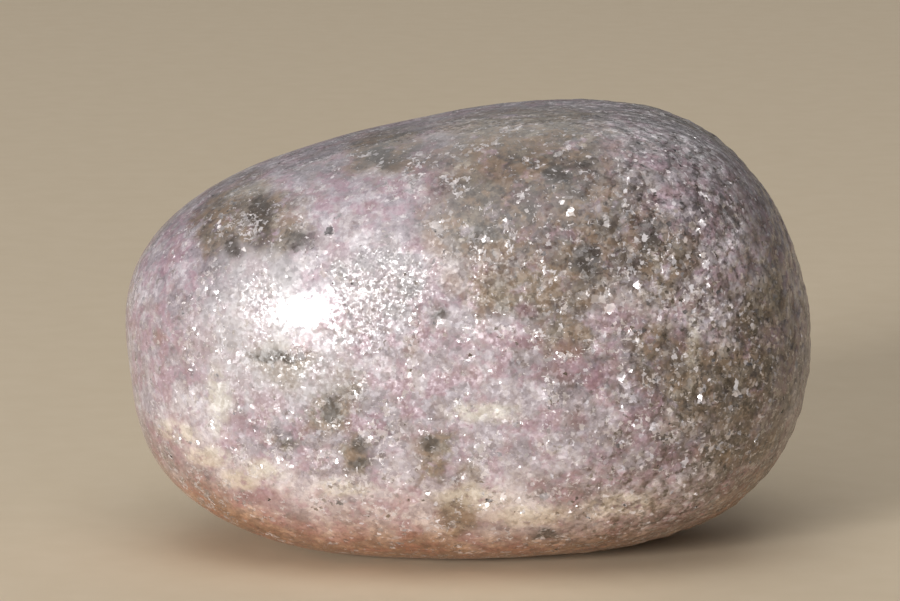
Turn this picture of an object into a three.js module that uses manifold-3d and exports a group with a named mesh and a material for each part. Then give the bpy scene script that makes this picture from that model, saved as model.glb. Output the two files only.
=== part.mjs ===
// A tumbled lepidolite pebble: one egg-like stone, ground smooth and polished all over.
// Millimetres. X runs along the stone with the blunt end at +X, Y runs from front to back, Z is up.

import * as THREE from 'three';
import { mergeVertices } from 'three/addons/utils/BufferGeometryUtils.js';
import Module from 'manifold-3d';

// Body: a rounded block, squarer than an ellipsoid, fuller at the blunt end
const HALF_LENGTH = 19.93;
const HALF_DEPTH = 13.2;
const HALF_HEIGHT = 12.72;
const PLAN_SQUARENESS = 2.55; // 2 would be an ellipse, larger is boxier
const SIDE_SQUARENESS = 2.83;
const TAPER = 0.12; // the blunt end is wider by this share, the narrow end slimmer by it
const CAMBER = 0.7; // both ends rise this far above the middle
const LEAN = 7.8; // degrees by which the long axis climbs toward the blunt end

// Broad flats and swells left by the tumbling.
// Each is [bearing, elevation, rise, spread]: degrees around from +X, degrees up, mm, degrees.
const BROAD_WEAR = [
  [0, 41, -1.6, 32], // the shoulder above the blunt end is worn off
  [0, 10, 0.7, 18], // the blunt end's middle stands proud
  [0, -40, 0.6, 22], // and so does its lower edge
  [180, -72, -0.4, 25], // the underside is worn toward the narrow end
  [-168, 0, -0.35, 26], // the front slopes away to the narrow end
  [-135, 30, -0.2, 26], // its upper shoulder there is worn back a little
  [-20, 5, -0.2, 20], // a flat where the front turns to the blunt end
  [125, 15, -0.7, 28], // a flat on the back
  [38, -10, 0.5, 24], // the back's corner at the blunt end
];

// Shallow hollows where soft grains have worn faster, most of them around the blunt end
const HOLLOWS = [
  [-44, 14, -0.15, 5],
  [-46, 26, -0.13, 6],
  [-36, 5, -0.14, 5],
  [-27, 16, -0.13, 5],
  [-31, 29, -0.14, 7],
  [-47, 37, -0.11, 6],
  [-37, 21, -0.1, 5],
  [-29, 3, -0.13, 5],
  [-37, -5, -0.12, 5],
  [-43, -14, -0.12, 6],
  [-32, -13, -0.12, 6],
  [-54, 6, -0.1, 6],
  [-58, 25, -0.11, 7],
  [-26, 42, -0.12, 7],
  [-78, 48, -0.1, 8],
  [-12, 12, -0.12, 6],
  [-9, -11, -0.11, 6],
  [6, 29, -0.12, 7],
  [14, 2, -0.12, 6],
  [29, 17, -0.13, 7],
  [36, -18, -0.11, 6],
  [52, 34, -0.12, 8],
  [64, 3, -0.11, 7],
  [88, 22, -0.1, 8],
  [112, -12, -0.1, 8],
  [133, 31, -0.1, 8],
  [20, 62, -0.1, 9],
  [-140, 52, -0.1, 8],
];

// The whole skin is a little uneven: waves of this height, one every so many mm
const WAVE_HEIGHT = 0.05;
const WAVE_LENGTH = 8.5;

// The flat that the stone rests on is ground this far into its lowest point
const REST_FLAT_DEPTH = 0.12;

// Facets along each edge of the icosahedron that the stone is shaped from
const FACETS_PER_EDGE = 21;

// Unit vector for a bearing and an elevation, both in degrees
function direction(bearing, elevation) {
  const around = THREE.MathUtils.degToRad(bearing);
  const up = THREE.MathUtils.degToRad(elevation);
  return new THREE.Vector3(
    Math.cos(up) * Math.cos(around),
    Math.cos(up) * Math.sin(around),
    Math.sin(up),
  );
}

// Push a point out, or in, by one patch of wear. The patch fades smoothly with its spread.
function wearAt(outward, [bearing, elevation, rise, spread]) {
  const fade = 1 - Math.cos(THREE.MathUtils.degToRad(spread));
  const nearness = (outward.dot(direction(bearing, elevation)) - 1) / fade;
  return rise * Math.exp(nearness);
}

// The point of the unworn body that lies in a given direction from its middle
function bodyPoint(outward) {
  const along = Math.abs(outward.x / HALF_LENGTH);
  const across = Math.abs(outward.y / HALF_DEPTH);
  const upward = Math.abs(outward.z / HALF_HEIGHT);
  const plan = (along ** PLAN_SQUARENESS + across ** PLAN_SQUARENESS) ** (1 / PLAN_SQUARENESS);
  const reach = (plan ** SIDE_SQUARENESS + upward ** SIDE_SQUARENESS) ** (1 / SIDE_SQUARENESS);
  const point = outward.clone().divideScalar(reach);
  const station = point.x / HALF_LENGTH; // -1 at the narrow end, +1 at the blunt one
  point.y *= 1 + TAPER * station;
  point.z *= 1 + TAPER * station;
  point.z += CAMBER * station * station;
  return point.applyAxisAngle(new THREE.Vector3(0, -1, 0), THREE.MathUtils.degToRad(LEAN));
}

// Three crossing waves, as the hand feels them when it turns the stone
function unevenness(point) {
  const turn = (2 * Math.PI) / WAVE_LENGTH;
  const first = Math.sin(turn * (point.x + 0.6 * point.z) + 1.1);
  const second = Math.sin(turn * (point.y - 0.5 * point.x) + 2.3);
  const third = Math.sin(turn * (point.z + 0.7 * point.y) + 0.4);
  return (WAVE_HEIGHT * (first + second + third)) / 3;
}

function shapeStone() {
  const stone = new THREE.IcosahedronGeometry(1, FACETS_PER_EDGE - 1);
  const spots = stone.getAttribute('position');
  const outward = new THREE.Vector3();
  for (let i = 0; i < spots.count; i += 1) {
    outward.fromBufferAttribute(spots, i).normalize();
    const point = bodyPoint(outward);
    const ray = point.clone().normalize();
    let rise = unevenness(point);
    for (const patch of [...BROAD_WEAR, ...HOLLOWS]) {
      rise += wearAt(ray, patch);
    }
    point.addScaledVector(ray, rise);
    spots.setXYZ(i, point.x, point.y, point.z);
  }
  return stone;
}

// A closed solid from a geometry's faces, with the points that they share made one
function toSolid(wasm, geometry) {
  geometry.deleteAttribute('normal');
  geometry.deleteAttribute('uv');
  const skin = mergeVertices(geometry, 1e-4);
  return new wasm.Manifold(new wasm.Mesh({
    numProp: 3,
    vertProperties: new Float32Array(skin.getAttribute('position').array),
    triVerts: new Uint32Array(skin.getIndex().array),
  }));
}

// Grind the flat that the stone rests on: what lies below it is cut away
async function grindRestFlat(stone) {
  const wasm = await Module();
  wasm.setup();
  stone.computeBoundingBox();
  const reach = 2 * HALF_LENGTH;
  const waste = new THREE.BoxGeometry(2 * reach, 2 * reach, reach);
  waste.translate(0, 0, stone.boundingBox.min.z + REST_FLAT_DEPTH - reach / 2);
  const ground = toSolid(wasm, stone).subtract(toSolid(wasm, waste)).getMesh();
  const result = new THREE.BufferGeometry();
  result.setAttribute('position', new THREE.BufferAttribute(ground.vertProperties.slice(), 3));
  result.setIndex(new THREE.BufferAttribute(ground.triVerts.slice(), 1));
  return result;
}

// The stone stands on its flat at height 0, with its length and depth centred on the origin
function standOnOrigin(geometry) {
  geometry.computeBoundingBox();
  const middle = geometry.boundingBox.getCenter(new THREE.Vector3());
  geometry.translate(-middle.x, -middle.y, -geometry.boundingBox.min.z);
  geometry.computeVertexNormals();
  return geometry;
}

const polishedLepidolite = new THREE.MeshStandardMaterial({
  color: 0xb3a1a6, // dusty lilac, the average of the whole skin
  roughness: 0.3,
  metalness: 0,
});

const pebble = new THREE.Mesh(standOnOrigin(await grindRestFlat(shapeStone())), polishedLepidolite);
pebble.name = 'pebble';

const lepidolitePebble = new THREE.Group();
lepidolitePebble.name = 'lepidolite_pebble';
lepidolitePebble.add(pebble);

export default lepidolitePebble;
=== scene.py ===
# %% [markdown]
# # A tumbled lepidolite pebble
#
# Lepidolite is a lilac mica. This one is fine-grained: scales of mica under a millimetre
# across, grown into each other with a little quartz and feldspar, then tumbled with finer
# and finer grit until the skin is smooth and glossy. The look has three parts: the shape
# of the stone, the low relief that the tumbling leaves in the skin, and the grain that
# shows through the polish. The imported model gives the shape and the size, so the first
# step loads it as a fixed frame.

# %% Load the fixed frame
import math

import bpy
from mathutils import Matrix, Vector


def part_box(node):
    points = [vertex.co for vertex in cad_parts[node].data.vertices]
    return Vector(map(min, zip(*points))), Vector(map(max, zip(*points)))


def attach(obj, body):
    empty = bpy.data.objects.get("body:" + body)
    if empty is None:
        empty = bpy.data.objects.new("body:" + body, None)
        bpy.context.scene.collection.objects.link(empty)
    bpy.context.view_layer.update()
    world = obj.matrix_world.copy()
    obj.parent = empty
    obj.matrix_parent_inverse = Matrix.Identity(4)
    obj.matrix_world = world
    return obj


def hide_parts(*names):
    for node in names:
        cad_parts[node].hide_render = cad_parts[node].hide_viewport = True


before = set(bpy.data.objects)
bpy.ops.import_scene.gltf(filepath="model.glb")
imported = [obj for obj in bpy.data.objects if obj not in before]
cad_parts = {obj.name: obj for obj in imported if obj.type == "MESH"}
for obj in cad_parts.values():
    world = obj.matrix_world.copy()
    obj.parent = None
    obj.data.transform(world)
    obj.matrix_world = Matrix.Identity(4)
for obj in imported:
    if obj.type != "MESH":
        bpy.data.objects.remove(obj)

MM = 0.001  # the scene is in metres, and a pebble is easier to think of in millimetres


def to_mm(values, digits=2):
    """Metres as rounded millimetres, for the prints."""
    return [round(value / MM, digits) for value in values]


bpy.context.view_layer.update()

# %% [markdown]
# ## The camera
#
# The photograph looks slightly down on the stone from the front, with a long lens. The
# camera could be placed by eye, but the scale gives its lens exactly: the stone is 687
# pixels long in the photograph and 40 mm long in reality, and the lens follows from that
# and the distance.

# %% Camera at the photograph's viewing angle
PHOTO_WIDTH = 900  # pixels
PIXELS_PER_MM = 687 / 40  # the stone's length in the photograph, over its real one
CAMERA_DISTANCE = 300 * MM
CAMERA_ELEVATION = math.radians(10)
CAMERA_AIM = Vector((-1.1, 0, 14.33)) * MM  # what lies in the middle of the picture

bpy.ops.object.select_all(action="DESELECT")
bpy.ops.object.camera_add(rotation=(math.pi / 2 - CAMERA_ELEVATION, 0, 0))
camera = bpy.context.object
back = Vector((0, -math.cos(CAMERA_ELEVATION), math.sin(CAMERA_ELEVATION)))
camera.location = CAMERA_AIM + back * CAMERA_DISTANCE
camera.data.lens = camera.data.sensor_width * CAMERA_DISTANCE / (PHOTO_WIDTH / PIXELS_PER_MM * MM)
bpy.context.scene.camera = camera
print("lens, mm:", round(camera.data.lens, 1))

# %% [markdown]
# ## Floor and light
#
# The stone lies on a plain pale floor. The photograph is lit by a low sun from the left,
# which rakes over the skin and brings out its grain. A sun lamp would give a hard shadow
# and pinpoint highlights, so one round softbox stands in the same direction, small enough
# to keep the sparkle. A wide softbox above the camera fills in the shaded side, a second
# one stands behind and above the stone, and a dim grey surrounding does the rest.

# %% Floor
FLOOR_SIZE = 6.0

bpy.ops.mesh.primitive_plane_add(size=FLOOR_SIZE)
floor = bpy.context.object
floor.name = "floor"
print("floor, mm:", to_mm(floor.dimensions, 0))

# %% Softboxes and surroundings
LIGHT_DISTANCE = 1.0
SURROUNDING_GREY = 0.10


def softbox(name, bearing, elevation, size, power, shape):
    """A soft light, placed by its bearing to the right of the camera and its elevation."""
    bearing, elevation = math.radians(bearing), math.radians(elevation)
    toward = Vector((
        math.sin(bearing) * math.cos(elevation),
        -math.cos(bearing) * math.cos(elevation),
        math.sin(elevation),
    ))
    bpy.ops.object.light_add(type="AREA", location=CAMERA_AIM + toward * LIGHT_DISTANCE)
    light = bpy.context.object
    light.name = name
    light.rotation_euler = toward.to_track_quat("Z", "Y").to_euler()
    light.data.shape = shape
    light.data.size = size
    light.data.energy = power
    print(name, "at, mm:", to_mm(light.location, 0))


softbox("low_sun", bearing=-36, elevation=10, size=0.27, power=11.0, shape="DISK")
softbox("wide_fill", bearing=-8, elevation=66, size=0.9, power=4.2, shape="SQUARE")
softbox("back_fill", bearing=178, elevation=45, size=0.9, power=1.6, shape="SQUARE")

world = bpy.data.worlds.new("dim_studio")
world.use_nodes = True
world.node_tree.nodes["Background"].inputs["Color"].default_value = (*[SURROUNDING_GREY] * 3, 1)
bpy.context.scene.world = world
bpy.context.scene.view_settings.view_transform = "Standard"  # colours come out as they are set

# %% [markdown]
# ## The stone's skin: an even net of faces
#
# A round stone needs faces of about the same size everywhere, or the relief would be fine
# in one place and coarse in another. A plain sphere crowds its faces at the poles. A cube
# whose sides are cut into squares and then blown up to a ball has no poles.

# %% A cube cut into squares
CUTS = 7  # each halves every face, so a side gets 128 by 128 squares

bpy.ops.object.select_all(action="DESELECT")
bpy.ops.mesh.primitive_cube_add(size=2)
stone = bpy.context.object
stone.name = "polished_pebble"
bpy.ops.object.mode_set(mode="EDIT")
bpy.ops.mesh.select_all(action="SELECT")
for _ in range(CUTS):
    bpy.ops.mesh.subdivide(number_cuts=1)
bpy.ops.object.mode_set(mode="OBJECT")
print("squares in the net:", len(stone.data.polygons))

# %% [markdown]
# While the net is still a cube, each side can be laid flat without any stretching. The
# six sides go into six rectangles of one image, in about the stone's own proportions, so
# that a picture baked from the finish is equally sharp all round.

# %% Lay the six sides flat
GAP = 0.008  # between the rectangles, as a share of the image
LONG_SIDE = 0.6  # the image's width for the stone's length, the rest is for its ends
ROWS = 3  # of rectangles, in two columns
# For each side of the cube: the way it faces, which ways run along and up its rectangle,
# and the column and row of that
SIDES = {
    "front": (Vector((0, -1, 0)), Vector((1, 0, 0)), Vector((0, 0, 1)), (0, 0)),
    "back": (Vector((0, 1, 0)), Vector((-1, 0, 0)), Vector((0, 0, 1)), (0, 1)),
    "top": (Vector((0, 0, 1)), Vector((1, 0, 0)), Vector((0, 1, 0)), (0, 2)),
    "blunt_end": (Vector((1, 0, 0)), Vector((0, 1, 0)), Vector((0, 0, 1)), (1, 0)),
    "narrow_end": (Vector((-1, 0, 0)), Vector((0, -1, 0)), Vector((0, 0, 1)), (1, 1)),
    "underside": (Vector((0, 0, -1)), Vector((0, 1, 0)), Vector((1, 0, 0)), (1, 2)),
}

layer = stone.data.uv_layers[0]
layer.name = "OFBake"
squares = dict.fromkeys(SIDES, 0)
for face in stone.data.polygons:
    side = max(SIDES, key=lambda name: SIDES[name][0].dot(face.normal))
    _, across, upward, (column, row) = SIDES[side]
    squares[side] += 1
    left = 0 if column == 0 else LONG_SIDE
    width = LONG_SIDE if column == 0 else 1 - LONG_SIDE
    for corner in face.loop_indices:
        place = stone.data.vertices[stone.data.loops[corner].vertex_index].co
        u = (place.dot(across) + 1) / 2
        v = (place.dot(upward) + 1) / 2
        layer.data[corner].uv = (
            left + GAP + u * (width - 2 * GAP),
            row / ROWS + GAP + v * (1 / ROWS - 2 * GAP),
        )
print("squares laid flat:", squares)

# %% [markdown]
# ## From the cube to the pebble
#
# The cube is blown up to a ball, stretched to the stone's box and then shrunk onto it.
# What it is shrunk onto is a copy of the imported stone, merged and subdivided so that its
# flat facets turn into one smooth skin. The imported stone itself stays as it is.

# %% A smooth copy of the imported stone
MERGE_DISTANCE = 0.001 * MM
ROUNDING_LEVELS = 2

bpy.ops.object.select_all(action="DESELECT")
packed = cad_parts["pebble"]
former = packed.copy()
former.data = packed.data.copy()
former.name = "former"
former.parent = None
bpy.context.collection.objects.link(former)
bpy.context.view_layer.objects.active = former
former.select_set(True)
bpy.ops.object.mode_set(mode="EDIT")
bpy.ops.mesh.select_all(action="SELECT")
bpy.ops.mesh.remove_doubles(threshold=MERGE_DISTANCE)
bpy.ops.object.mode_set(mode="OBJECT")
rounding = former.modifiers.new("rounding", "SUBSURF")
rounding.levels = rounding.render_levels = ROUNDING_LEVELS
bpy.ops.object.modifier_apply(modifier=rounding.name)
print("faces in the former:", len(former.data.polygons))

# %% [markdown]
# A cube's squares are smaller at its corners once it is a ball. So the cuts are moved
# first, by a tangent, until each spans the same angle.

# %% Blow the cube up to a ball
for vertex in stone.data.vertices:
    vertex.co = Vector([math.tan(value * math.pi / 4) for value in vertex.co])

bpy.ops.object.select_all(action="DESELECT")
bpy.context.view_layer.objects.active = stone
stone.select_set(True)
bpy.ops.object.mode_set(mode="EDIT")
bpy.ops.mesh.select_all(action="SELECT")
bpy.ops.transform.tosphere(value=1)
bpy.ops.object.mode_set(mode="OBJECT")
print("ball, before it is stretched, mm:", to_mm(stone.dimensions))

# %% Stretch the ball and shrink it onto the former
EVENING_STRENGTH, EVENING_ROUNDS = 0.5, 6

low, high = (Vector(corner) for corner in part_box("pebble"))
middle = (low + high) / 2
half_size = (high - low) / 2
for vertex in stone.data.vertices:
    outward = vertex.co.normalized()
    vertex.co = middle + Vector([part * half for part, half in zip(outward, half_size)])

wrap = stone.modifiers.new("wrap", "SHRINKWRAP")
wrap.target = former
wrap.wrap_method = "NEAREST_SURFACEPOINT"
bpy.ops.object.modifier_apply(modifier=wrap.name)
evening = stone.modifiers.new("evening", "SMOOTH")
evening.factor = EVENING_STRENGTH
evening.iterations = EVENING_ROUNDS
bpy.ops.object.modifier_apply(modifier=evening.name)
bpy.data.objects.remove(former, do_unlink=True)
bpy.ops.object.shade_smooth()
print("pebble size, mm:", to_mm(stone.dimensions))

# %% [markdown]
# ## Low relief
#
# Tumbling wears soft grains a little deeper than hard ones, so the skin is lumpy by up to
# about a tenth of a millimetre. The photograph shows it best toward the blunt end, where
# the light rakes across it. A bump in the finish could fake it, but would leave the outline
# and the mesh perfectly smooth. So Displace modifiers with procedural textures raise it in
# the mesh itself, and a vertex group says how strong it is from place to place.

# %% Where the relief is strongest
RELIEF_STARTS = -4 * MM  # from here toward the blunt end it grows
RELIEF_FULL = 11 * MM
RELIEF_LEAST = 0.2
RELIEF_GROUP = "relief"

strength = stone.vertex_groups.new(name=RELIEF_GROUP)
for vertex in stone.data.vertices:
    along = (vertex.co.x - RELIEF_STARTS) / (RELIEF_FULL - RELIEF_STARTS)
    share = RELIEF_LEAST + (1 - RELIEF_LEAST) * min(max(along, 0), 1)
    strength.add([vertex.index], share, "REPLACE")
smooth_places = [vertex.co.copy() for vertex in stone.data.vertices]
smooth_normals = [vertex.normal.copy() for vertex in stone.data.vertices]
print("relief grows from", round(RELIEF_STARTS / MM), "to", round(RELIEF_FULL / MM), "mm along")

# %% Raise the lumps and the grain
# Each is: name, kind of noise, size of one feature and its height, both in mm
RELIEFS = [
    ("swells", "ORIGINAL_PERLIN", 2.2, 0.10),
    ("lumps", "ORIGINAL_PERLIN", 1.1, 0.11),
    ("hollows", "VORONOI_F2_F1", 1.1, 0.07),
    ("grain", "VORONOI_F2_F1", 0.7, 0.05),
]

for name, basis, feature, height in RELIEFS:
    pattern = bpy.data.textures.new(name, "CLOUDS")
    pattern.noise_basis = basis
    pattern.noise_scale = feature * MM
    pattern.noise_depth = 0
    relief = stone.modifiers.new(name, "DISPLACE")
    relief.texture = pattern
    relief.texture_coords = "LOCAL"
    relief.strength = height * MM
    relief.vertex_group = RELIEF_GROUP
    bpy.ops.object.modifier_apply(modifier=relief.name)
stone.vertex_groups.clear()
print("pebble size with its relief, mm:", to_mm(stone.dimensions))

# %% [markdown]
# The finish has to know where the hollows are, because it darkens them, partly as dirt that stays in
# them and partly as painted shade. So each vertex keeps how far it was raised, in tenths of a
# millimetre.

# %% Keep the height of the relief for the finish
TENTH = 0.1 * MM
RAISED = "raised"

raised = stone.data.attributes.new(RAISED, "FLOAT", "POINT")
for vertex, before, normal in zip(stone.data.vertices, smooth_places, smooth_normals):
    raised.data[vertex.index].value = (vertex.co - before).dot(normal) / TENTH
heights = [entry.value for entry in raised.data]
print("raised, tenths of mm, least and most:", round(min(heights), 2), round(max(heights), 2))

# %% [markdown]
# ## Building a finish
#
# A finish is a tree of nodes. They could be placed by hand in the shader editor, but then
# nobody could read off why a value is what it is. One small function adds a node: it sets
# what the node is told, and fills its inputs in the order in which the node shows them.

# %% Helpers for nodes and colours
SMOOTH = {"interpolation_type": "SMOOTHSTEP"}  # for a Map Range that starts and ends softly


def feed(socket, value):
    """Links an input to a node's first output or to a given one, or sets it to a value."""
    if isinstance(value, bpy.types.Node):
        value = next(output for output in value.outputs if output.enabled)
    if isinstance(value, bpy.types.NodeSocket):
        tree.links.new(value, socket)
    else:
        socket.default_value = value


def add(kind, *inputs, **settings):
    """Adds a node to the finish in hand, with its settings first and then its inputs."""
    made = tree.nodes.new("ShaderNode" + kind)
    for setting, value in settings.items():
        setattr(made, setting, value)
    shown = [socket for socket in made.inputs if socket.enabled]
    for socket, value in zip(shown, inputs):
        feed(socket, value)
    return made


def colour(code):
    """An sRGB hex colour as the linear values that a shader works in."""
    parts = [int(code[start:start + 2], 16) / 255 for start in (1, 3, 5)]
    linear = [part / 12.92 if part <= 0.04045 else ((part + 0.055) / 1.055) ** 2.4 for part in parts]
    return (*linear, 1)


def new_material(name):
    """An empty material with a Principled shader on its output."""
    material = bpy.data.materials.new(name)
    material.use_nodes = True
    return material, material.node_tree, material.node_tree.nodes["Principled BSDF"]


def report(made):
    """Says what was made, and how many nodes the finish in hand has by now."""
    print(f"{made}: {len(tree.nodes)} nodes so far")


# %% [markdown]
# ## The floor's finish
#
# Matt card in a pale sand colour: it sends a little of the light back up under the stone.
# One flat colour would look like plastic, so two colours lie in it in faint clouds.

# %% Matt card
# Card is pressed from paper fibres, which scatter the light: it shows no highlight, only a
# faint cloudiness. Real fibres are too fine to show, so the clouds are 2.5 mm wide.
FIBRE_CLOUD = 2.5 * MM

card, tree, shader = new_material("matt_card")
fibres = add("TexNoise", add("TexCoord").outputs["Object"], 1 / FIBRE_CLOUD, 3)
sand = add("Mix", fibres, colour("#d6c3a6"), colour("#ddcbb0"), data_type="RGBA")
feed(shader.inputs["Base Color"], sand)
feed(shader.inputs["Roughness"], 0.8)
floor.data.materials.append(card)
report("matt card")

# %% [markdown]
# ## Polished lepidolite: where the grain lies
#
# A picture of mica could be wrapped around the stone, but it would show a seam. Here
# everything is worked out in three dimensions from the stone's own coordinates, turned to
# millimetres, so the grain runs through the stone as it does in the real one. Real grains
# are never tidy, so the coordinates are first pushed about by a soft noise: a little for
# the grains, and a lot for the stains.

# %% Coordinates in millimetres
# How wide the features that push are, and how far they push, both in mm
GRAIN_DRIFT = (0.9, 0.4)
STAIN_DRIFT = (3.2, 2.4)
MIDDLE = (0.5, 0.5, 0.5)  # what noise and random colours lie about

# Lepidolite, tumbled to a polish: soft lilac and pink scales under a clear gloss, with a
# pearly flash where a scale lies flat on
lepidolite, tree, shader = new_material("polished_lepidolite")
place = add("TexCoord").outputs["Object"]
in_mm = add("VectorMath", place, 1 / MM, operation="SCALE")


def drift(vector, feature, amount, detail=2):
    """The coordinates pushed about, over features of a size in mm by an amount in mm."""
    noise = add("TexNoise", vector, 1 / feature, detail)
    centred = add("VectorMath", noise.outputs["Color"], MIDDLE, operation="SUBTRACT")
    return add("VectorMath", centred, (2 * amount,) * 3, vector, operation="MULTIPLY_ADD")


grain_place = drift(in_mm, *GRAIN_DRIFT)
stain_place = drift(in_mm, *STAIN_DRIFT, detail=4)
report("coordinates")

# %% [markdown]
# ## Patches
#
# Stained, pale and dark places don't repeat, so the ones that the photograph shows are
# placed one by one. They could be painted into an image, but a list of ellipses stays
# sharp at any size. Each is seen from the front: its middle, along and up, and its half
# width and half height, in mm. The drifted coordinates fray its outline. The other sides
# aren't in the photograph and get scattered clumps of the same kinds.

# %% The front and the unseen sides
FRONT_FADE = 3.0  # mm to each side of the stone's middle

axes = add("SeparateXYZ", in_mm)
drifted_axes = add("SeparateXYZ", stain_place)
front = add("MapRange", drifted_axes.outputs["Y"], FRONT_FADE, -FRONT_FADE, **SMOOTH)
unseen = add("Math", 1, front, operation="SUBTRACT")
report("front and unseen sides")


# %% Masks for patches and clumps
def patches(places, vector=stain_place, softness=0.5):
    """1 inside the ellipses and 0 outside, on the front half of the stone."""
    mask = None
    for x, z, half_width, half_height in places:
        shrink = (1 / half_width, 0, 1 / half_height)
        shift = (-x / half_width, 0, -z / half_height)
        ratio = add("VectorMath", vector, shrink, shift, operation="MULTIPLY_ADD")
        reach = add("VectorMath", ratio, operation="LENGTH")
        inside = add("MapRange", reach, 1 + softness, 1 - softness, **SMOOTH)
        mask = inside if mask is None else add("Math", mask, inside, operation="MAXIMUM")
    return add("Math", mask, front, operation="MULTIPLY")


def clumps(vector, feature, least, most, roughness=0.7):
    """1 where noise with features of a size in mm is over its most, 0 under its least."""
    noise = add("TexNoise", vector, 1 / feature, 3, roughness)
    return add("MapRange", noise, least, most, **SMOOTH)


def scattered(vector, feature, least, most):
    """Rounder clumps, on the unseen sides only."""
    rounder = clumps(vector, feature, least, most, roughness=0.5)
    return add("Math", rounder, unseen, operation="MULTIPLY")


# %% Stained and cream places
stain = add("Math", patches([
    (-4.8, 24.0, 2.1, 1.1), (3.4, 24.4, 5.0, 2.4), (1.2, 21.0, 3.0, 2.6), (3.4, 17.6, 3.6, 1.8),
    (7.0, 20.4, 3.2, 3.2), (10.2, 18.6, 2.0, 2.2), (15.6, 11.6, 2.6, 2.8), (13.2, 11.4, 2.4, 2.4),
    (10.4, 13.4, 1.4, 1.4), (5.2, 14.8, 1.0, 1.6), (-12.4, 20.4, 2.9, 1.6), (-14.2, 19.4, 1.4, 1.2),
    (-10.3, 13.0, 1.7, 0.8), (-7.7, 10.1, 1.6, 1.5), (-2.2, 7.9, 1.4, 1.2), (-0.7, 4.6, 1.4, 1.4),
    (15.0, 7.6, 1.8, 1.6), (-6.3, 7.5, 0.7, 0.7), (16.4, 15.6, 1.2, 2.0), (-10.6, 8.0, 1.0, 0.7),
]), scattered(stain_place, 9.0, 0.53, 0.64), operation="MAXIMUM")
cream = add("Math", patches([
    (0.7, 10.3, 2.0, 0.6), (8.6, 4.6, 2.2, 0.8), (-16.6, 8.0, 1.2, 0.6), (-14.8, 6.8, 1.2, 0.6),
    (-13.0, 5.6, 1.2, 0.6), (-14.2, 10.4, 0.7, 1.9), (-11.7, 6.4, 1.2, 0.6), (0.1, 5.2, 2.2, 0.7),
    (12.5, 13.5, 0.45, 2.0), (3.4, 4.0, 2.4, 0.7), (-7.0, 5.6, 1.6, 0.5),
], grain_place), scattered(stain_place, 3.2, 0.62, 0.7), operation="MAXIMUM")
report("stained and cream places")

# %% Smoky, rusty and plum places
smoky = add("Math", patches([
    (-6.2, 8.3, 0.5, 0.5), (-6.3, 7.2, 0.4, 0.35), (-11.8, 20.6, 0.8, 0.9), (-9.6, 19.5, 0.9, 0.5),
    (-10.9, 13.1, 1.4, 0.35), (-7.8, 10.2, 0.5, 0.9), (-2.2, 8.5, 0.5, 0.5), (4.3, 2.7, 0.8, 0.4),
    (5.0, 23.2, 0.9, 0.4), (6.6, 18.8, 0.6, 0.9), (10.0, 20.0, 0.5, 1.0), (-1.6, 15.8, 0.5, 0.4),
    (0.8, 20.3, 0.8, 0.6), (-13.4, 18.8, 0.5, 0.5), (-5.0, 23.6, 0.9, 0.4),
], grain_place), scattered(grain_place, 1.6, 0.62, 0.68), operation="MAXIMUM")
rust = add("Math", patches([
    (-3.3, 14.0, 0.45, 0.5), (-17.6, 13.4, 0.35, 0.35), (-5.8, 24.3, 0.5, 0.4),
    (13.0, 7.6, 0.45, 0.4), (-1.1, 17.6, 0.6, 0.7), (-2.1, 19.6, 0.6, 0.5), (5.6, 13.9, 0.7, 0.5),
    (-10.6, 23.4, 0.8, 0.4),
], grain_place), scattered(grain_place, 1.9, 0.61, 0.67), operation="MAXIMUM")
plum = add("Math", patches([
    (5.4, 12.9, 1.1, 0.8), (9.5, 10.1, 0.9, 0.6), (6.9, 12.2, 0.6, 0.5), (-13.2, 9.2, 0.8, 0.5),
    (3.2, 14.4, 0.9, 0.5), (-14.9, 13.4, 0.7, 0.9), (3.2, 16.2, 0.6, 0.4), (3.4, 9.6, 0.5, 0.4),
    (6.0, 9.9, 0.5, 0.5), (-12.0, 4.6, 1.8, 0.6),
], grain_place), scattered(grain_place, 2.4, 0.58, 0.66), operation="MAXIMUM")
report("smoky, rusty and plum places")

# %% Glinting places, and pale and dusky places with painted light and shade
glinting = add("Math", patches([
    (-12.4, 20.0, 0.9, 0.7), (-5.2, 8.9, 1.4, 0.7), (-9.2, 13.4, 0.7, 0.7), (-8.3, 7.4, 0.9, 0.7),
    (12.5, 16.1, 0.8, 0.7), (0.0, 15.4, 0.8, 0.6), (-6.9, 5.8, 1.2, 0.6), (12.8, 24.0, 1.2, 0.7),
    (3.6, 14.6, 0.7, 0.7), (14.8, 20.4, 0.9, 0.9), (-15.8, 13.3, 0.6, 1.2), (8.8, 14.9, 1.0, 0.7),
    (9.9, 25.0, 1.2, 0.6), (14.0, 8.2, 1.2, 0.8), (0.6, 7.7, 0.8, 1.0), (11.2, 9.0, 1.0, 0.7),
], grain_place), scattered(grain_place, 2.6, 0.56, 0.64), operation="MAXIMUM")
# Pale places: partly paler mica, partly painted light on the upper shoulders and low on the front
light = add("Math", patches([
    (-9.6, 21.6, 2.2, 0.9), (-4.0, 22.6, 1.6, 0.8), (13.8, 21.8, 2.0, 2.2), (15.0, 17.6, 2.2, 2.4),
    (13.6, 14.8, 1.4, 1.2), (7.2, 15.2, 1.4, 1.2), (11.0, 15.6, 1.3, 1.2), (-16.4, 9.0, 1.6, 2.6),
    (9.0, 5.8, 3.2, 2.2), (5.2, 7.6, 1.4, 1.2), (-9.6, 4.4, 4.0, 1.2), (-4.4, 4.6, 2.4, 1.6),
    (-2.6, 13.0, 1.6, 1.4), (-3.6, 3.0, 5.0, 1.0), (3.0, 5.6, 3.0, 1.4),
]), scattered(stain_place, 6.0, 0.47, 0.6), operation="MAXIMUM")
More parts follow.
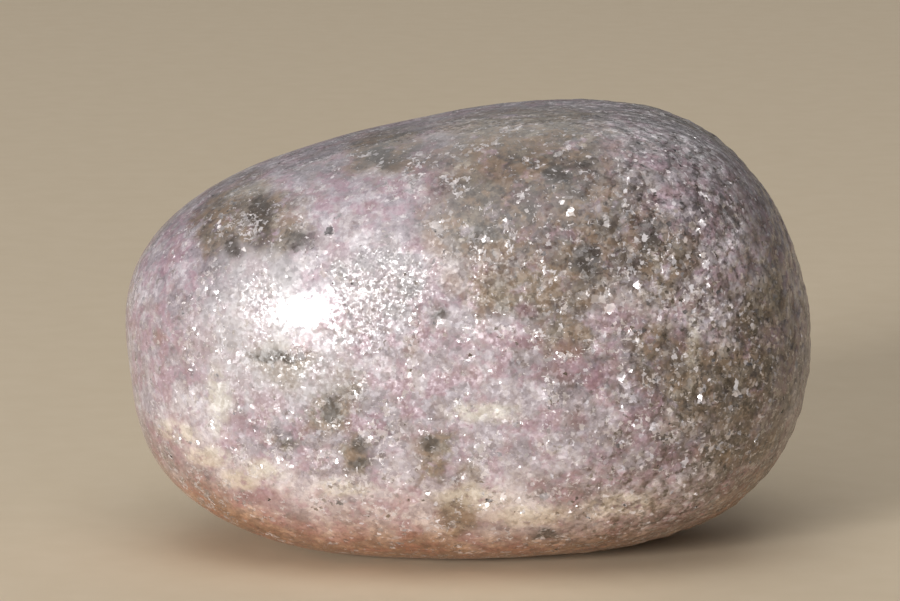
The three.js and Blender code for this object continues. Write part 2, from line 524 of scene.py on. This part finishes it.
# Dusky places: partly darker mica and stain, partly painted shade along the top edge and toward the
# blunt end
dusky_and_painted_shade = add("Math", patches([
    (3.4, 20.6, 3.8, 2.8), (7.8, 20.2, 3.4, 2.4), (3.6, 16.4, 2.4, 1.2), (-1.8, 16.6, 1.2, 1.0),
    (-14.2, 18.6, 1.6, 2.6), (-10.6, 8.2, 2.4, 1.4), (-5.8, 9.6, 1.6, 2.2), (9.8, 11.8, 1.8, 1.8),
    (13.2, 11.6, 1.2, 2.6), (3.4, 12.8, 2.0, 1.2), (-4.4, 24.2, 3.0, 1.2), (4.4, 23.4, 3.4, 1.6),
    (-13.0, 19.8, 1.5, 1.0), (-14.6, 16.2, 1.0, 1.0), (-1.4, 20.8, 2.0, 1.6), (1.2, 19.8, 1.8, 1.4),
    (-9.8, 23.9, 3.6, 1.0), (-5.0, 17.4, 2.6, 1.9), (6.4, 12.4, 2.4, 1.2), (13.0, 8.6, 2.6, 1.0),
    (16.0, 12.0, 1.4, 3.0), (9.2, 13.4, 1.8, 1.2),
]), scattered(stain_place, 5.0, 0.55, 0.65), operation="MAXIMUM")
report("glinting, light and dusky places")

# %% Olive places, and grey painted sheen around the highlight, seen on the front alone
olive = patches([(3.0, 23.4, 5.4, 2.2), (3.2, 18.8, 3.6, 2.8), (-5.0, 23.6, 2.2, 1.2)])
# Grey patches around the highlight: a painted sheen of the gloss, with some of the mica's own grey
grey_and_painted_sheen = patches([
    (-12.6, 13.6, 2.6, 3.6), (-8.8, 12.0, 2.6, 1.2), (-11.8, 17.8, 2.4, 1.6), (-4.8, 17.4, 2.6, 2.0),
])
report("olive and milky places")

# %% [markdown]
# ## How light each point is
#
# The mica is clouded at every size, from veils of some millimetres down to single scales.
# Noise alone would leave all of it soft, like smoke. So noise with many octaves gives only
# the clouds, and over them lie the grains, which have crisp edges and are each a little
# lighter or darker than the next: a Voronoi pattern gives every grain its own random
# colour, and its red part is taken as the grain's lightness.

# %% Tone
CLOUD, VEIL = 5.0, 4.5  # mm, their widest features
CLOUD_DETAIL, CLOUD_ROUGHNESS = 6, 0.9
CLOUD_CONTRAST, VEIL_CONTRAST = 1.3, 0.6
# The pale places lift the tone and the dusky ones drop it, as the mica's own tone and as painted
# light and shade
LIGHT_LIFT, DUSKY_DROP = 0.22, 0.34
# Each is a size in mm and its share of the tone. Real scales go down to about 0.05 mm, which
# is under a pixel here, so the finest are drawn at 0.22 mm.
GRAINS = [(0.80, 0.20), (0.42, 0.24), (0.22, 0.22)]
GRAIN_FRAY = (0.8, 0.6)  # size and reach of what frays its edges, in grain sizes

cloud = add("TexNoise", grain_place, 1 / CLOUD, CLOUD_DETAIL, CLOUD_ROUGHNESS)
veil = add("TexNoise", stain_place, 1 / VEIL, 1)
centre = 0.5 - 0.5 * (CLOUD_CONTRAST + VEIL_CONTRAST)
tone = add("Math", cloud, CLOUD_CONTRAST, centre, operation="MULTIPLY_ADD")
for mask, lift in ((veil, VEIL_CONTRAST), (light, LIGHT_LIFT), (dusky_and_painted_shade, -DUSKY_DROP)):
    tone = add("Math", mask, lift, tone, operation="MULTIPLY_ADD")
grains = []
for size, share in GRAINS:
    frayed = drift(in_mm, *[part * size for part in GRAIN_FRAY], detail=3)
    pattern = add("TexVoronoi", frayed, 1 / size)
    values = add("SeparateColor", pattern.outputs["Color"])
    grains.append((pattern, values))
    lowered = add("Math", tone, share / 2, operation="SUBTRACT")
    tone = add("Math", values, share, lowered, operation="MULTIPLY_ADD")
report("tone")

# %% [markdown]
# Toward the blunt end the grain stands up in lumps of just under a millimetre, each a shade of its
# own.
# The grooves between them and the hollows of the relief are darkened, partly as dirt and partly as
# painted shade.

# %% Lumps, grooves and hollows
BLUNT_STARTS, BLUNT_FULL = 0, 13  # mm along the stone
LUMP_SIZE = 0.85
LUMP_FRAY = 0.55 * LUMP_SIZE
LUMP_SHARE = 0.16
GROOVE_STARTS, GROOVE_FULL = 0.52, 0.82  # distance from a lump's middle, in lump sizes
HOLLOW_STARTS, HOLLOW_FULL = -0.1, -1.2  # tenths of mm
HOLLOW_SHADE = 0.30

toward_blunt = add("MapRange", axes.outputs["X"], BLUNT_STARTS, BLUNT_FULL, **SMOOTH)
lump_place = drift(in_mm, LUMP_SIZE, LUMP_FRAY, detail=4)
lump = add("TexVoronoi", lump_place, 1 / LUMP_SIZE)
from_middle = add("VectorMath", lump_place, lump.outputs["Position"], operation="SUBTRACT")
edge = add("MapRange", lump, GROOVE_STARTS, GROOVE_FULL, **SMOOTH)
groove_dirt_and_shade = add("Math", edge, toward_blunt, operation="MULTIPLY")
lump_value = add("SeparateColor", lump.outputs["Color"])
lump_shade = add("Math", lump_value, LUMP_SHARE, -LUMP_SHARE / 2, operation="MULTIPLY_ADD")
tone = add("Math", lump_shade, toward_blunt, tone, operation="MULTIPLY_ADD")
raised_by = add("Attribute", attribute_name=RAISED).outputs["Fac"]
# The hollows darken the tone: partly dirt, partly painted shade
hollow_dirt_and_shade = add("MapRange", raised_by, HOLLOW_STARTS, HOLLOW_FULL, **SMOOTH)
tone = add("Math", hollow_dirt_and_shade, -HOLLOW_SHADE, tone, operation="MULTIPLY_ADD")
report("lumps, grooves and hollows")

# %% [markdown]
# ## The colours
#
# A colour ramp for each mineral turns the tone to a colour: lilac mica, the same mica
# stained brown and olive, and cream feldspar. One ramp would look like one paint. So pink
# and tan drift over the mica in soft grains about a millimetre across, and each kind of
# patch is laid over them as a thin glaze.

# %% A ramp for each mineral
# The colours of its darkest, middle and lightest tone
MINERALS = {
    "lilac_mica": ("#64595e", "#9f949b", "#d8d1d5"),
    "stained_mica": ("#40352a", "#766a58", "#b4a897"),
    "cream_feldspar": ("#a39686", "#cac4b8", "#e8e4dc"),
}

minerals = {}
for name, codes in MINERALS.items():
    minerals[name] = add("ValToRGB", tone, label=name)
    marks = minerals[name].color_ramp.elements
    marks.new(0.5)
    for mark, code in zip(marks, codes):
        mark.color = colour(code)
print("minerals:", ", ".join(minerals))

# %% Soft grains of pink, tan, stain and cream
# Each is a size in mm, and the values of the noise between which a clump fades in
PINK = (1.6, 0.45, 0.60)
TAN = (1.2, 0.47, 0.61)
STAIN_BLOTCHES = (1.4, 0.33, 0.47)
CREAM_MOTTLE = (0.7, 0.30, 0.54)
TAN_EVERYWHERE, TAN_IN_STAIN = 0.2, 0.42

pinkness = clumps(grain_place, *PINK)
tan_grains = clumps(grain_place, *TAN)
tan_strength = add("Math", stain, TAN_IN_STAIN, TAN_EVERYWHERE, operation="MULTIPLY_ADD")
stained = add("Math", stain, clumps(grain_place, *STAIN_BLOTCHES), operation="MULTIPLY")
mottled_cream = add("Math", cream, clumps(in_mm, *CREAM_MOTTLE), operation="MULTIPLY")
report("soft grains")


# %% Lay the grains and patches over the mica
def cover(below, mask, strength, above, way="MIX"):
    """A colour laid over another where the mask is, or with MULTIPLY a tint."""
    amount = add("Math", mask, strength, operation="MULTIPLY")
    return add("Mix", amount, below, above, data_type="RGBA", blend_type=way)


# Each is laid over the ones before it: its mask, its strength from 0 to 1, and its colour
skin = minerals["lilac_mica"]
skin = cover(skin, pinkness, 0.5, colour("#a07a88"))
skin = cover(skin, stained, 0.85, minerals["stained_mica"])
skin = cover(skin, tan_grains, tan_strength, colour("#88705b"))
skin = cover(skin, olive, 0.5, colour("#dfd3b8"), "MULTIPLY")
skin = cover(skin, plum, 0.5, colour("#87606a"))
skin = cover(skin, mottled_cream, 0.8, minerals["cream_feldspar"])
skin = cover(skin, rust, 0.4, colour("#7f5c40"))
# Painted sheen: grey laid over the mica around the highlight, where the gloss would whiten it
skin = cover(skin, grey_and_painted_sheen, 0.55, colour("#a29e9e"))
# Painted shade, with some dirt, in the hollows of the relief and the grooves between the lumps
skin = cover(skin, hollow_dirt_and_shade, 0.35, colour("#6b5748"))
skin = cover(skin, groove_dirt_and_shade, 0.55, colour("#4e4034"))
report("grains and patches laid")

# %% [markdown]
# Low on the stone, warm light bounced up from below is painted in: peachy pink, and next to the
# floor almost amber. Two tints are multiplied over the colours, so that the grain still shows
# through them.

# %% Painted warm bounce light near the floor
BOUNCE_EDGE_WAVE = 3.0  # mm by which the veil moves its edge
BLUNT_RISE, NARROW_RISE = 3.2, 2.2  # mm that it climbs toward the two ends
BLUNT_END, NARROW_END = (11, 18), (-9, -17)  # mm along the stone, where that starts and ends
# Each tint: the height where it starts and the height where it is full, in mm
PAINTED_BOUNCE_TINTS = [(9.5, 4.5, "#fff0e3"), (5.5, 2.2, "#ffd9a4")]

at_blunt = add("MapRange", axes.outputs["X"], *BLUNT_END, **SMOOTH)
at_narrow = add("MapRange", axes.outputs["X"], *NARROW_END, **SMOOTH)
height = axes.outputs["Z"]
for mask, lift in ((veil, BOUNCE_EDGE_WAVE), (at_blunt, -BLUNT_RISE), (at_narrow, -NARROW_RISE)):
    height = add("Math", mask, lift, height, operation="MULTIPLY_ADD")
# Painted warm bounce light: each tint is multiplied over the colours low on the stone
for starts, full, tint in PAINTED_BOUNCE_TINTS:
    painted_bounce = add("MapRange", height, starts, full, **SMOOTH)
    skin = add("Mix", painted_bounce, skin, colour(tint), data_type="RGBA", blend_type="MULTIPLY")
report("painted_bounce")

# %% [markdown]
# ## Dark pores
#
# Smoky grains and empty pores show as ragged dark specks. They crowd together in the
# smoky and the stained places, and are rare elsewhere. Holes cut into the mesh would need
# far finer faces, so a pore is a place where a fine noise lies under a limit, and the
# limit is raised where pores crowd.

# %% Pores
PORE_SIZE = 0.34
PORE_FRAY = (0.5, 0.25)  # size and reach of what frays its edges, in mm
PORE_LIMIT = 0.24
STAINED_LIFT, SMOKY_LIFT, BLUNT_LIFT = 0.08, 0.23, 0.11
PORE_STARTS, PORE_FULL = -0.05, 0.07  # how far under the limit

pore_noise = add("TexNoise", drift(in_mm, *PORE_FRAY), 1 / PORE_SIZE, 2, 0.6)
limit = PORE_LIMIT
for mask, lift in ((stained, STAINED_LIFT), (smoky, SMOKY_LIFT), (toward_blunt, BLUNT_LIFT)):
    limit = add("Math", mask, lift, limit, operation="MULTIPLY_ADD")
depth = add("Math", limit, pore_noise, operation="SUBTRACT")
pores = add("MapRange", depth, PORE_STARTS, PORE_FULL, **SMOOTH)
skin = cover(skin, smoky, 0.75, colour("#413831"))
skin = cover(skin, pores, 0.7, colour("#3a3029"))
report("pores")

# %% [markdown]
# ## Mica flecks
#
# Where the polish meets a scale of mica flat on, or bruises its edge, it shows as a bright
# fleck. White dots all over would look like paint. The real ones crowd together in flocks,
# with dark chips between them, and each catches the light at its own angle. Some are whole
# grains of the patterns above: a grain is one where its random value is over a limit, and
# the limit is lower inside a flock. Others are curls, cut out of stretched noise.

# %% Where flecks crowd
FLOCKS = (1.3, 0.55, 0.61)  # clumps, by the same three values as above
BLUNT_FLOCKING = 0.35
UNDER_LIMIT = 0.01  # a fleck starts to show this far under its limit

flocks = add("Math", clumps(grain_place, *FLOCKS), glinting, operation="MAXIMUM")
blunt_flocks = add("Math", toward_blunt, BLUNT_FLOCKING, operation="MULTIPLY")
flocks = add("Math", flocks, blunt_flocks, operation="MAXIMUM")


def over_limit(value, rare, crowded, blur):
    """1 where a value is over a limit, which moves from rare to crowded in a flock."""
    limit = add("MapRange", flocks, 0, 1, rare, crowded, **SMOOTH)
    excess = add("Math", value, limit, operation="SUBTRACT")
    return add("MapRange", excess, -UNDER_LIMIT, blur, **SMOOTH)


report("flocks")

# %% Grains that shine, and curls
GRAIN_BLUR, CURL_BLUR = 0.02, 0.03  # it is full this far over its limit
FAINTEST = 0.3  # the strength of the faintest grain that shines
CURL_FRAY = 0.5  # in curl sizes
CURL_TURNS = 0.6  # how often their directions change, for each curl size


def random_way(pattern):
    """A random direction for each grain of a pattern."""
    way = add("TexWhiteNoise", pattern.outputs["Color"])
    return add("VectorMath", way.outputs["Color"], MIDDLE, operation="SUBTRACT")


def shining(grain, rare, crowded):
    """The mask and the directions of the grains of a pattern that shine."""
    pattern, values = grain
    mask = over_limit(values.outputs["Green"], rare, crowded, GRAIN_BLUR)
    strength = add("MapRange", values.outputs["Blue"], 0, 1, FAINTEST, 1, **SMOOTH)
    return add("Math", mask, strength, operation="MULTIPLY"), random_way(pattern)


def curls(size, stretch, rare, crowded, seed):
    """The mask and the directions of ragged curls of about a size in mm."""
    moved = add("VectorMath", in_mm, stretch, (seed, -seed, seed), operation="MULTIPLY_ADD")
    ridges = add("TexNoise", drift(moved, size, CURL_FRAY * size), 1 / size, 2, 0.6)
    mask = over_limit(ridges, rare, crowded, CURL_BLUR)
    way = add("TexNoise", moved, CURL_TURNS / size, 1)
    return mask, add("VectorMath", way.outputs["Color"], MIDDLE, operation="SUBTRACT")


flecks = [
    shining(grains[1], rare=0.99, crowded=0.89),
    shining(grains[2], rare=0.965, crowded=0.69),
    curls(0.48, (1.9, 1.0, 0.9), rare=0.70, crowded=0.60, seed=5.9),
    curls(0.30, (0.8, 1.0, 1.7), rare=0.67, crowded=0.59, seed=7.7),
]
report("flecks")

# %% Chips and flecks over the grain
CHIP_STARTS, CHIP_FULL = 0.22, 0.18  # the lowest fifth of the finest grains

_, finest_values = grains[2]
dark_grains = add("MapRange", finest_values.outputs["Blue"], CHIP_STARTS, CHIP_FULL, **SMOOTH)
chips = add("Math", dark_grains, flocks, operation="MULTIPLY")
skin = cover(skin, chips, 0.45, colour("#5b4e46"))
shown = flecks[0][0]
for mask, _ in flecks[1:]:
    shown = add("Math", shown, mask, operation="MAXIMUM")
# The flecks' pale colour is partly the mica's own silvery grey and partly a painted glint
skin = cover(skin, shown, 0.6, colour("#e6dfe0"))
report("chips and flecks laid")

# %% [markdown]
# ## The gloss
#
# The polish is a clear, even coat, so the light shows in it as one solid white patch. Where
# the last grit has frosted the skin, its tilts break the edge of that patch into ragged
# dots. A Bump node would soften such fine steps, so the normal is tilted directly. The
# base under the coat is tilted too, most of all at the flecks, and sparkles.

# %% Where the polish is frosted
BRUISES = (1.6, 0.48, 0.62)  # clumps again
BRUISED_FROST, BESIDE_FROST = 0.5, 0.8
FROST_LEFT = 0.1  # in the clear middle, as a share

bruised = add("Math", clumps(grain_place, *BRUISES), BRUISED_FROST, operation="MULTIPLY")
beside = add("Math", patches([
    (-4.6, 18.0, 3.2, 2.2), (-6.2, 15.6, 2.2, 2.4), (-12.0, 16.4, 1.2, 1.4), (-9.5, 12.6, 2.6, 0.8),
], grain_place, softness=0.9), BESIDE_FROST, operation="MULTIPLY")
clear_middle = patches([(-9.2, 15.9, 1.7, 1.8)], grain_place)
frost = add("Math", bruised, beside, operation="MAXIMUM")
share_left = add("MapRange", clear_middle, 1, 0, FROST_LEFT, 1, **SMOOTH)
frost = add("Math", frost, share_left, operation="MULTIPLY")
report("frost")

# %% Tilt the coat
FROST_SIZE = 0.24  # mm. The last grit's real scratches, about 0.01 mm, are too fine to show
POLISH_TILT, FROST_TILT = 0.10, 1.0
LUMP_TILT = 0.4  # for each mm from the middle of a lump


def push(vector, amount, onto):
    """A vector added to another by an amount that differs from place to place."""
    amounts = add("CombineXYZ", amount, amount, amount)
    return add("VectorMath", vector, amounts, onto, operation="MULTIPLY_ADD")


grit = add("TexNoise", in_mm, 1 / FROST_SIZE, 3, 0.7)
scratches = add("VectorMath", grit.outputs["Color"], MIDDLE, operation="SUBTRACT")
scratch_tilt = add("MapRange", frost, 0, 1, 2 * POLISH_TILT, 2 * FROST_TILT, **SMOOTH)
lump_tilt = add("Math", toward_blunt, LUMP_TILT, operation="MULTIPLY")
even = add("NewGeometry").outputs["Normal"]
coated = push(scratches, scratch_tilt, push(from_middle, lump_tilt, even))
coat_normal = add("VectorMath", coated, operation="NORMALIZE")
report("tilted coat")

# %% Tilt the base under it
FLECK_TILT = 1.3
GRAIN_TILT, BLUNT_GRAIN_TILT = 0.22, 0.42

tilted = coated
grain_tilt = add("MapRange", toward_blunt, 0, 1, GRAIN_TILT, BLUNT_GRAIN_TILT, **SMOOTH)
for pattern, _ in grains[1:]:
    tilted = push(random_way(pattern), grain_tilt, tilted)
for mask, way in flecks:
    tilted = push(way, add("Math", mask, FLECK_TILT, operation="MULTIPLY"), tilted)
normal = add("VectorMath", tilted, operation="NORMALIZE")
report("tilted base")

# %% [markdown]
# Mica has an index of about 1.56 and no metal in it. Yet its scales are stacks of thin
# plates, which together mirror more than one plate does. So the base gets a high specular
# level and a trace of metal, and the flecks get more of it and a lower roughness.

# %% The shader
FULL_FLECK = 0.8  # a mask value that counts as all fleck
METALLIC, FLECK_METALLIC = 0.04, 0.2
ROUGHNESS, FLECK_ROUGHNESS = 0.5, 0.28

finish = {
    "Base Color": skin,
    "Metallic": add("MapRange", shown, 0, FULL_FLECK, METALLIC, FLECK_METALLIC, **SMOOTH),
    "Roughness": add("MapRange", shown, 0, FULL_FLECK, ROUGHNESS, FLECK_ROUGHNESS, **SMOOTH),
    "IOR": 1.56,
    "Specular IOR Level": 1.0,
    "Normal": normal,
    "Coat Weight": 0.6,
    "Coat Roughness": 0.12,
    "Coat IOR": 1.5,
    "Coat Normal": coat_normal,
}
for name, value in finish.items():
    feed(shader.inputs[name], value)
stone.data.materials.append(lepidolite)
print("nodes in the finish:", len(tree.nodes))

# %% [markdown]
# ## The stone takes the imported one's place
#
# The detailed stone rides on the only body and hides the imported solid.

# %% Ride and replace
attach(stone, "root")
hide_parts("pebble")
